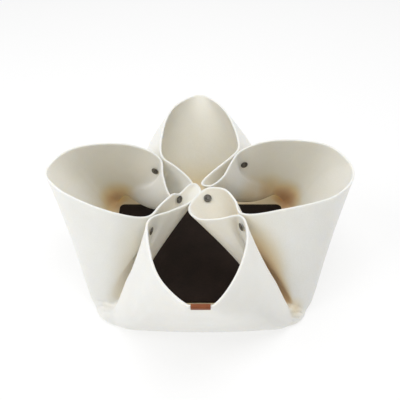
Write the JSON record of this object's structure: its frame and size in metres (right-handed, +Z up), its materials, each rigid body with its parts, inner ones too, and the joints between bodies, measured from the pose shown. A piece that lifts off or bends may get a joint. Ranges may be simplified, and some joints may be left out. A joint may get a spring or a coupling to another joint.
{
  "type": "cat tunnel bed",
  "caption": "Cat tunnel bed of one thick felt square folded into four open lobes that meet over a padded floor, held by press studs.",
  "frame": {"origin": "middle of the felt's flat underside, where it rests on the ground", "axes": "+Z up; the lobe with the leather tab faces -Y, +X is to the right of someone who faces it"},
  "size_m": [0.5786, 0.6226, 0.2015],
  "materials": {
    "cream_felt": "matt felt",
    "dark_mat": "matt",
    "rust_leather": "satin",
    "stud_metal": "dark satin"
  },
  "bodies": {
    "root": {"felt_sheet": "cream_felt", "floor_mat": "dark_mat", "leather_tab": "rust_leather", "stud_front_left_front": "stud_metal", "stud_front_left_left": "stud_metal", "stud_front_right_front": "stud_metal", "stud_front_right_right": "stud_metal", "stud_back_right_right": "stud_metal", "stud_back_right_back": "stud_metal", "stud_back_left_back": "stud_metal", "stud_back_left_left": "stud_metal", "stud_front_left_tip": "stud_metal", "stud_front_right_tip": "stud_metal"}
  },
  "joints": []
}
